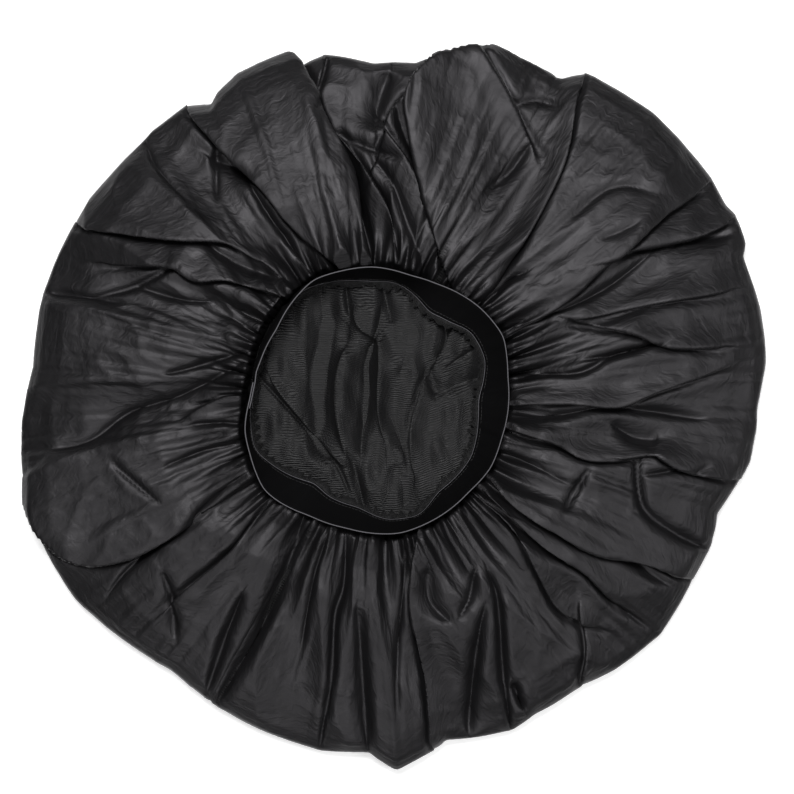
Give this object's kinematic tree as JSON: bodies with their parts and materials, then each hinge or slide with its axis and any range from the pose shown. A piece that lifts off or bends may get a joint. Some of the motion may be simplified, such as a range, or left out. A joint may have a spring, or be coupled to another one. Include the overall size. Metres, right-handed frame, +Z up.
{
  "type": "spare tire cover",
  "caption": "Soft round bag cover with a gathered rim and a wide elastic mouth, lying collapsed on its face, lined inside.",
  "frame": {"origin": "on the resting surface, under the middle of the collapsed cover's outline", "axes": "+Z up out of the mouth, +X along the longest side of the outline, +Y to its left"},
  "size_m": [0.711, 0.6899, 0.06],
  "materials": {
    "shell_cloth": "black satin weave, soft sheen",
    "lining_knit": "dull dark grey, fine ribs",
    "elastic": "matt black knitted elastic",
    "thread": "black polyester thread"
  },
  "bodies": {
    "root": {"face_panel": "shell_cloth", "side_panel_left": "shell_cloth", "side_panel_right": "shell_cloth", "lining_face": "lining_knit", "lining_side": "lining_knit", "rim_seam_overlock": "thread", "rim_seam_stitches": "thread", "panel_join_overlock": "thread", "panel_join_stitches": "thread", "hem_elastic": "elastic", "hem_join_stitches": "thread", "hem_seam_stitches": "thread", "hem_seam_overlock": "thread"}
  },
  "joints": []
}
